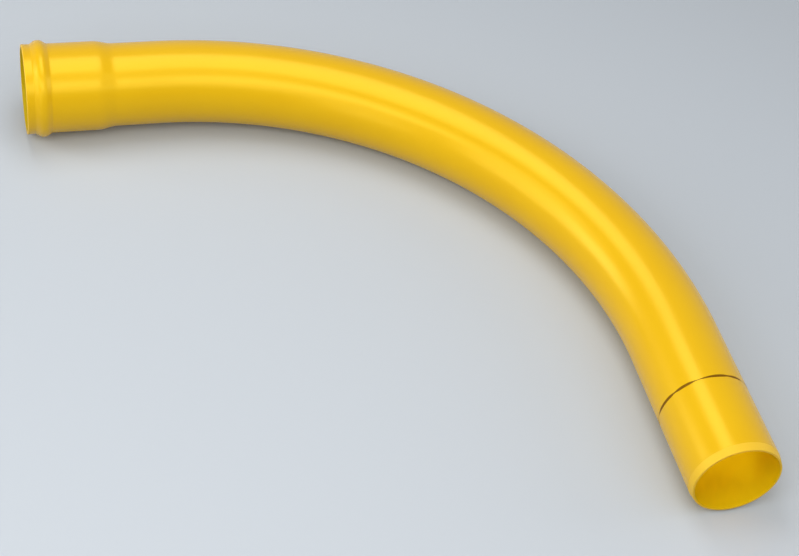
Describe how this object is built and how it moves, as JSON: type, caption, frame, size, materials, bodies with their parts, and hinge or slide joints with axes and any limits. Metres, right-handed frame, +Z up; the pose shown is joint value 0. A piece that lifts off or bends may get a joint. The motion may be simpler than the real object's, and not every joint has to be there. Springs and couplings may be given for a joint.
{
  "type": "long-radius conduit elbow",
  "caption": "Long-radius quarter-turn conduit elbow in yellow plastic pipe, with a ring-seal socket at one end and a chamfered spigot at the other, for pulling cables round a corner.",
  "frame": {"origin": "centre of the socket's mouth", "axes": "socket axis along X with the mouth facing -X, bend in the XY plane turning to -Y, spigot facing -Y, +Z up as the elbow lies on its side"},
  "size_m": [0.7795, 0.8288, 0.1276],
  "materials": {
    "yellow_pvc": "smooth extruded gloss",
    "black_rubber": "moulded matt"
  },
  "bodies": {
    "root": {"elbow_pipe": "yellow_pvc", "sealing_ring": "black_rubber"}
  },
  "joints": []
}
